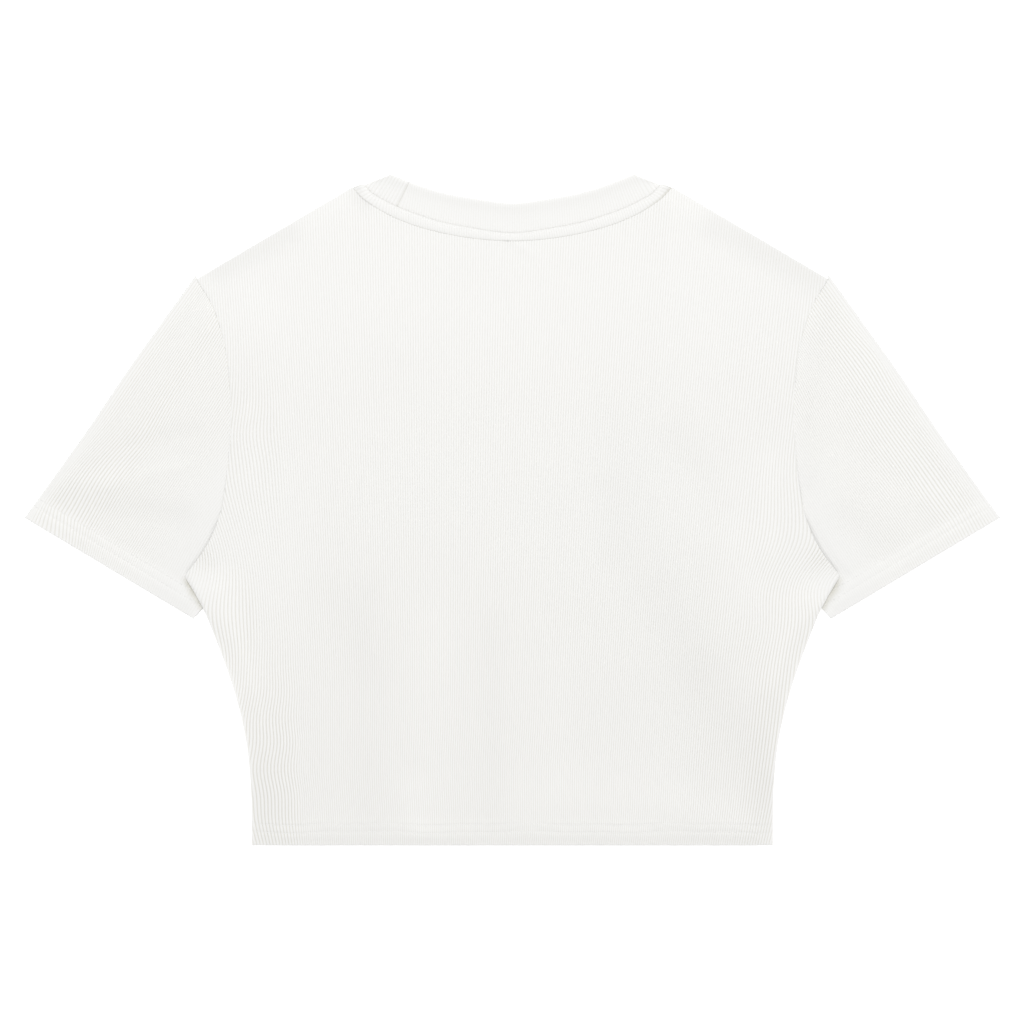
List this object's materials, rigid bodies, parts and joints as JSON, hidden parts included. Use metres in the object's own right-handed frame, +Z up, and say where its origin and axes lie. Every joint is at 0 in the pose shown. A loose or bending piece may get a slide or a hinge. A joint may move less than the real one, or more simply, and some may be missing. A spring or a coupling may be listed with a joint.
{
  "type": "crop top",
  "caption": "Cropped crew-neck T-shirt in fine rib knit with short sleeves, laid flat with the front up.",
  "frame": {"origin": "middle of the laid-out shirt's box, on the surface that it lies on", "axes": "+X across the shirt to its own left sleeve, +Y from the hem to the neck, +Z up from the surface, out of the front"},
  "size_m": [0.652, 0.4496, 0.006],
  "materials": {
    "body_rib": "matt off-white fine rib knit",
    "sleeve_rib": "matt off-white fine rib knit",
    "neckband_rib": "matt off-white fine rib knit"
  },
  "bodies": {
    "root": {"front": "body_rib", "back": "body_rib", "sleeve_left": "sleeve_rib", "sleeve_right": "sleeve_rib", "neckband": "neckband_rib"}
  },
  "joints": []
}
